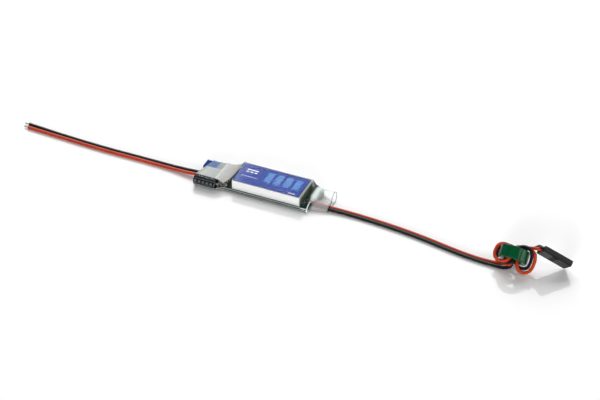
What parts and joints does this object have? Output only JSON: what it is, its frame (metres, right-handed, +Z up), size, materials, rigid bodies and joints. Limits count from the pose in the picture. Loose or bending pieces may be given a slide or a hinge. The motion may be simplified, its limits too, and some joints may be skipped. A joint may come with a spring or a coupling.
{
  "type": "step-down regulator module",
  "caption": "Sleeved step-down regulator with input leads, a jumper for the output voltage, and an output lead wound through a ferrite ring to a servo plug.",
  "frame": {"origin": "centre of the module's flat underside, on the surface it lies on", "axes": "+X along the module towards the output lead, +Y across it towards the back, +Z up"},
  "size_m": [0.2676, 0.0225, 0.0138],
  "materials": {
    "board_laminate": "dark green solder mask over glass-fibre laminate, satin gloss",
    "tinplate": "bright tinned steel, slightly soft reflections",
    "label_film": "printed royal blue film, satin",
    "clear_film": "clear shrunk film, glossy, milky where it stands off",
    "can_aluminium": "bare drawn aluminium",
    "capacitor_sleeve_film": "black shrink sleeve with a grey polarity stripe",
    "bung_rubber": "black rubber",
    "tinned_wire": "tinned steel wire",
    "header_plastic": "black glass-filled nylon",
    "gilt_pin": "gold flashed square pin",
    "jumper_plastic": "dark blue moulded plastic",
    "clip_metal": "folded phosphor bronze strip",
    "chip_epoxy": "black moulded epoxy",
    "tinned_lead": "tinned copper leads",
    "inductor_powder": "pressed iron powder, dark grey",
    "capacitor_ceramic": "tan fired ceramic",
    "resistor_glaze": "black glazed alumina",
    "led_lens": "cloudy clear lens",
    "solder": "bright tin solder",
    "tinned_strand": "tinned stranded copper",
    "red_insulation": "soft red insulation, satin",
    "black_insulation": "soft black insulation, satin",
    "ring_coating": "green epoxy coated ferrite, glossy",
    "plug_plastic": "black moulded nylon"
  },
  "bodies": {
    "module": {"capacitor_bung": "bung_rubber", "capacitor_can": "can_aluminium", "capacitor_leads": "tinned_wire", "capacitor_sleeve": "capacitor_sleeve_film", "ceramic_capacitors": "capacitor_ceramic", "chip_resistors": "resistor_glaze", "component_solder": "solder", "conductor_tails": "tinned_strand", "controller_chip": "chip_epoxy", "controller_chip_leads": "tinned_lead", "diode_terminals": "tinned_lead", "ferrite_ring": "ring_coating", "header_base": "header_plastic", "header_pins": "gilt_pin", "heat_shrink_sleeve": "clear_film", "inductor_core": "inductor_powder", "inductor_terminals": "tinned_lead", "input_wire_black": "black_insulation", "input_wire_red": "red_insulation", "label": "label_film", "output_filter_capacitor": "capacitor_ceramic", "output_wire_black": "black_insulation", "output_wire_red": "red_insulation", "pcb": "board_laminate", "plug_contact_negative": "clip_metal", "plug_contact_positive": "clip_metal", "plug_housing": "plug_plastic", "schottky_diode": "chip_epoxy", "shield_can": "tinplate", "status_led": "led_lens", "tinned_tips": "tinned_strand", "wire_solder": "solder"},
    "jumper": {"jumper_cap": "jumper_plastic", "jumper_clip": "clip_metal"}
  },
  "joints": [
    {"name": "jumper_pull", "type": "slide", "parent": "module", "child": "jumper", "axis": [-1, 0, 0], "range_m": [0, 0.007]}
  ]
}
